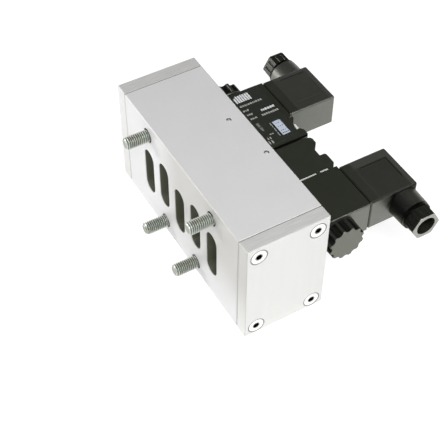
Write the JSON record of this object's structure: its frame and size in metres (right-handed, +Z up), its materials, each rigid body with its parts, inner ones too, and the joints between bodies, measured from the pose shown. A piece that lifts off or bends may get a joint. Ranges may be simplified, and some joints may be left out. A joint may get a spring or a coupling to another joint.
{
  "type": "pneumatic solenoid valve",
  "caption": "Sub-base mounted air valve: an aluminium block with slot ports and threaded bolt ends, shifted by black pilot valves with coils and angled plugs.",
  "frame": {"origin": "centre of the flat long side that the block rests on, below the middle of the spool's axis", "axes": "+Z up from the resting side; +Y along the spool; +X from the port face towards the pilot valves"},
  "size_m": [0.1411, 0.1638, 0.074],
  "materials": {
    "cast_aluminium": "satin",
    "plate_aluminium": "satin",
    "zinc_steel": "satin",
    "bright_steel": "bright",
    "spool_aluminium": "polished",
    "black_rubber": "matt",
    "black_plastic": "fine grained",
    "white_plastic": "matt",
    "brass": "satin"
  },
  "bodies": {
    "valve": {"valve_body": "cast_aluminium", "mounting_bolts": "zinc_steel", "channel_plugs": "zinc_steel", "spacer_cage_1": "white_plastic", "spacer_cage_2": "white_plastic", "spacer_cage_3": "white_plastic", "spacer_cage_4": "white_plastic", "spacer_cage_5": "white_plastic", "spool_seals": "black_rubber", "end_plate_near": "plate_aluminium", "end_plate_far": "plate_aluminium", "end_gasket_near": "black_rubber", "end_gasket_far": "black_rubber", "end_plate_screws_near": "bright_steel", "end_plate_screws_far": "bright_steel", "stack_retainer_near": "bright_steel", "stack_retainer_far": "bright_steel", "pilot_body_near": "black_plastic", "pilot_body_far": "black_plastic", "pilot_gasket_near": "black_rubber", "pilot_gasket_far": "black_rubber", "pilot_screws_near": "zinc_steel", "pilot_screws_far": "zinc_steel", "armature_tube_near": "bright_steel", "armature_tube_far": "bright_steel", "armature_core_near": "bright_steel", "armature_core_far": "bright_steel", "plunger_spring_near": "bright_steel", "plunger_spring_far": "bright_steel", "bracket_plate_near": "zinc_steel", "bracket_plate_far": "zinc_steel", "coil_near": "black_plastic", "coil_far": "black_plastic", "coil_terminals_near": "bright_steel", "coil_terminals_far": "bright_steel", "coil_nut_near": "black_plastic", "coil_nut_far": "black_plastic", "plug_gasket_near": "black_rubber", "plug_gasket_far": "black_rubber", "plug_housing_near": "black_plastic", "plug_housing_far": "black_plastic", "plug_insert_near": "black_plastic", "plug_insert_far": "black_plastic", "plug_screw_near": "zinc_steel", "plug_screw_far": "zinc_steel", "gland_seal_near": "black_rubber", "gland_seal_far": "black_rubber", "gland_nut_near": "black_plastic", "gland_nut_far": "black_plastic"},
    "spool": {"spool": "spool_aluminium", "piston_near": "white_plastic", "piston_far": "white_plastic", "piston_seal_near": "black_rubber", "piston_seal_far": "black_rubber", "piston_screws": "bright_steel"},
    "plunger_near": {"plunger_near": "bright_steel"},
    "override_near": {"manual_override_near": "brass"},
    "plunger_far": {"plunger_far": "bright_steel"},
    "override_far": {"manual_override_far": "brass"}
  },
  "joints": [
    {"name": "spool_slide", "type": "slide", "parent": "valve", "child": "spool", "axis": [0, 1, 0], "range_m": [0, 0.008]},
    {"name": "plunger_slide_near", "type": "slide", "parent": "valve", "child": "plunger_near", "axis": [0, -1, 0], "range_m": [0, 0.0012], "stiffness_N_per_m": 500, "springref_m": -0.004, "deforming": ["plunger_spring_near"]},
    {"name": "override_press_near", "type": "slide", "parent": "valve", "child": "override_near", "axis": [-1, 0, 0], "range_m": [0, 0.0015], "stiffness_N_per_m": 1000, "springref_m": -0.001},
    {"name": "plunger_slide_far", "type": "slide", "parent": "valve", "child": "plunger_far", "axis": [0, 1, 0], "range_m": [0, 0.0012], "stiffness_N_per_m": 500, "springref_m": -0.004, "deforming": ["plunger_spring_far"]},
    {"name": "override_press_far", "type": "slide", "parent": "valve", "child": "override_far", "axis": [-1, 0, 0], "range_m": [0, 0.0015], "stiffness_N_per_m": 1000, "springref_m": -0.001}
  ]
}
